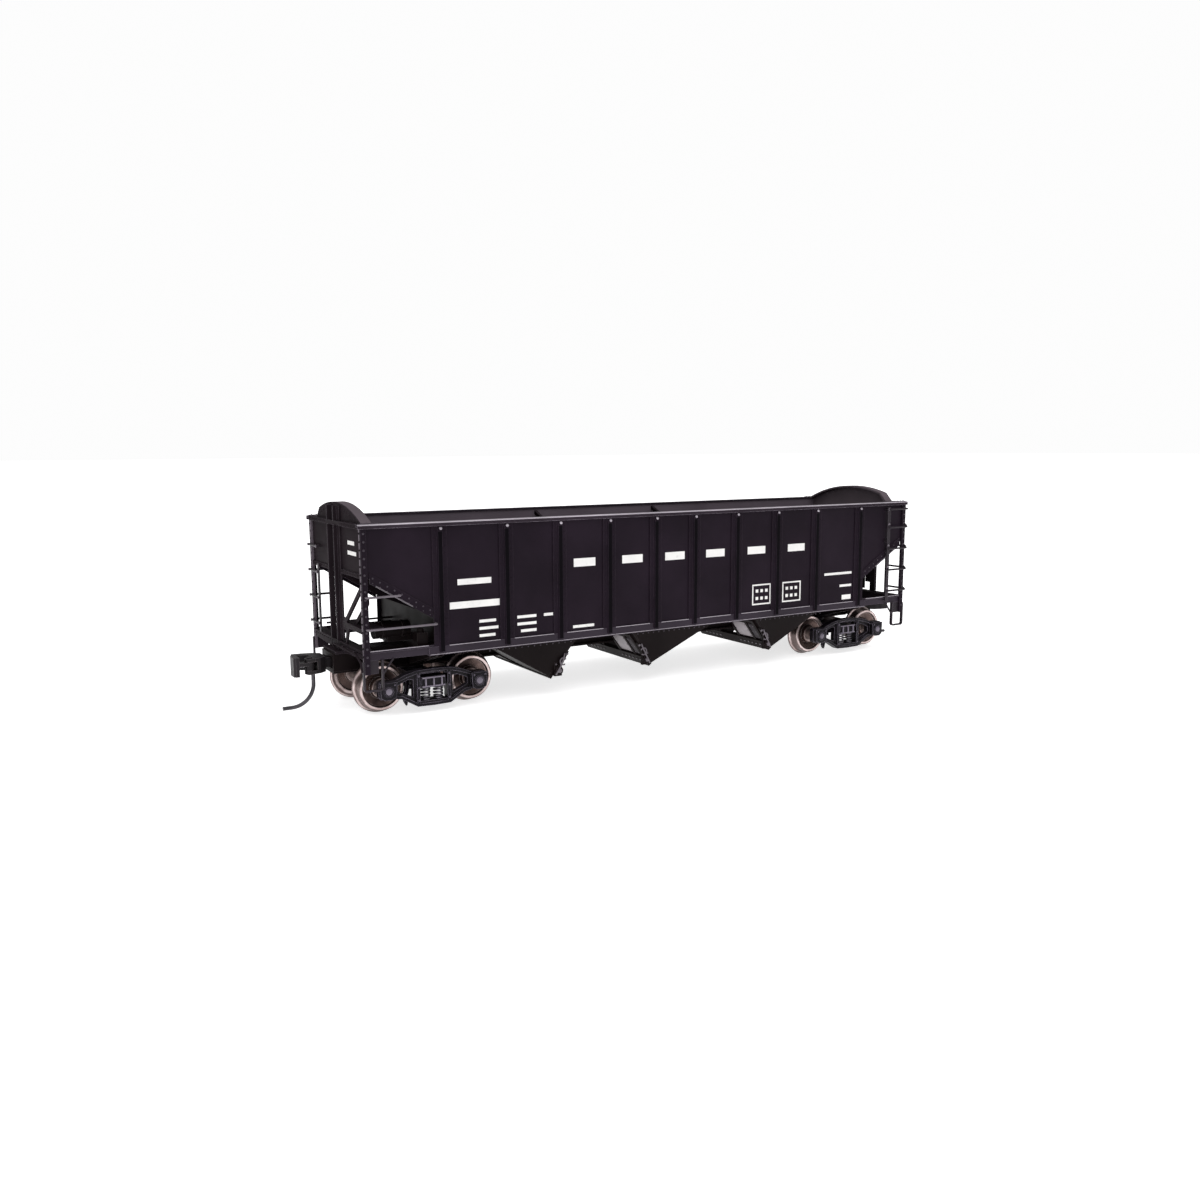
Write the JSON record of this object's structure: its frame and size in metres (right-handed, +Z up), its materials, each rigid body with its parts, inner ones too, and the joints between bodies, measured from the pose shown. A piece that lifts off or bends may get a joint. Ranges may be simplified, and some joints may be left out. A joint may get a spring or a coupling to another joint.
{
  "type": "model railway hopper car",
  "caption": "Open-topped model hopper car with riveted side posts, arched end shields, sloping ends and funnel bays, on sprung-style trucks with knuckle couplers.",
  "frame": {"origin": "under the middle of the car, level with the bottom of the wheel flanges", "axes": "+X along the car towards the hand-brake end B, +Y to the left side, +Z up"},
  "size_m": [0.1704, 0.0372, 0.043],
  "materials": {
    "body_black": "satin",
    "truck_casting": "satin",
    "wheel_metal": "satin",
    "axle_steel": "satin",
    "coupler_metal": "satin",
    "trip_wire": "satin",
    "spring_metal": "satin",
    "screw_steel": "satin"
  },
  "bodies": {
    "car_body": {"air_reservoir": "body_black", "bay_ridges": "body_black", "body_bolsters": "body_black", "brake_cylinder": "body_black", "centre_sill": "body_black", "centring_springs": "spring_metal", "control_valve_and_pipes": "body_black", "corner_posts": "body_black", "coupler_box_lids": "body_black", "coupler_boxes": "body_black", "cross_ties": "body_black", "door_locks": "body_black", "end_platforms": "body_black", "end_posts": "body_black", "end_sheet_a": "body_black", "end_sheet_b": "body_black", "end_sills": "body_black", "grab_irons": "body_black", "hand_brake": "body_black", "hopper_chute_a": "body_black", "hopper_chute_b": "body_black", "hopper_chute_centre": "body_black", "hopper_doors": "body_black", "ladders": "body_black", "side_posts_left": "body_black", "side_posts_right": "body_black", "side_sheet_left": "body_black", "side_sheet_right": "body_black", "side_sills": "body_black", "sill_steps": "body_black", "slope_sheet_a": "body_black", "slope_sheet_b": "body_black", "top_chord_left": "body_black", "top_chord_right": "body_black", "truck_and_box_screws": "screw_steel", "uncoupling_levers": "body_black"},
    "wheelset_a_inner": {"axle_a_inner": "axle_steel", "wheels_a_inner": "wheel_metal"},
    "wheelset_a_outer": {"axle_a_outer": "axle_steel", "wheels_a_outer": "wheel_metal"},
    "wheelset_b_inner": {"axle_b_inner": "axle_steel", "wheels_b_inner": "wheel_metal"},
    "wheelset_b_outer": {"axle_b_outer": "axle_steel", "wheels_b_outer": "wheel_metal"},
    "truck_a": {"brake_beams_a": "truck_casting", "side_frames_a": "truck_casting", "truck_bolster_a": "truck_casting", "truck_springs_a": "spring_metal"},
    "truck_b": {"brake_beams_b": "truck_casting", "side_frames_b": "truck_casting", "truck_bolster_b": "truck_casting", "truck_springs_b": "spring_metal"},
    "coupler_a": {"coupler_head_a": "coupler_metal", "knuckle_pin_a": "coupler_metal", "trip_pin_a": "trip_wire"},
    "coupler_b": {"coupler_head_b": "coupler_metal", "knuckle_pin_b": "coupler_metal", "trip_pin_b": "trip_wire"},
    "knuckle_a": {"knuckle_a": "coupler_metal"},
    "knuckle_b": {"knuckle_b": "coupler_metal"}
  },
  "joints": [
    {"name": "truck_a_swivel", "type": "hinge", "parent": "car_body", "child": "truck_a", "pos_m": [-0.0578, 0, 0.0077], "axis": [0, 0, 1], "range_deg": [-8, 8]},
    {"name": "wheelset_a_outer_spin", "type": "hinge", "parent": "truck_a", "child": "wheelset_a_outer", "pos_m": [-0.0677, 0, 0.00545], "axis": [0, 1, 0], "continuous": true},
    {"name": "wheelset_a_inner_spin", "type": "hinge", "parent": "truck_a", "child": "wheelset_a_inner", "pos_m": [-0.0479, 0, 0.00545], "axis": [0, 1, 0], "continuous": true},
    {"name": "coupler_a_swing", "type": "hinge", "parent": "car_body", "child": "coupler_a", "pos_m": [-0.0712, 0, 0.0102], "axis": [0, 0, 1], "range_deg": [-10, 10], "stiffness_Nm_per_rad": 0.001},
    {"name": "knuckle_a_open", "type": "hinge", "parent": "coupler_a", "child": "knuckle_a", "pos_m": [-0.08, -0.0023, 0.0102], "axis": [0, 0, 1], "range_deg": [0, 30], "stiffness_Nm_per_rad": 0.00005},
    {"name": "truck_b_swivel", "type": "hinge", "parent": "car_body", "child": "truck_b", "pos_m": [0.0578, 0, 0.0077], "axis": [0, 0, 1], "range_deg": [-8, 8]},
    {"name": "wheelset_b_outer_spin", "type": "hinge", "parent": "truck_b", "child": "wheelset_b_outer", "pos_m": [0.0677, 0, 0.00545], "axis": [0, 1, 0], "continuous": true},
    {"name": "wheelset_b_inner_spin", "type": "hinge", "parent": "truck_b", "child": "wheelset_b_inner", "pos_m": [0.0479, 0, 0.00545], "axis": [0, 1, 0], "continuous": true},
    {"name": "coupler_b_swing", "type": "hinge", "parent": "car_body", "child": "coupler_b", "pos_m": [0.0712, 0, 0.0102], "axis": [0, 0, 1], "range_deg": [-10, 10], "stiffness_Nm_per_rad": 0.001},
    {"name": "knuckle_b_open", "type": "hinge", "parent": "coupler_b", "child": "knuckle_b", "pos_m": [0.08, 0.0023, 0.0102], "axis": [0, 0, 1], "range_deg": [0, 30], "stiffness_Nm_per_rad": 0.00005}
  ]
}
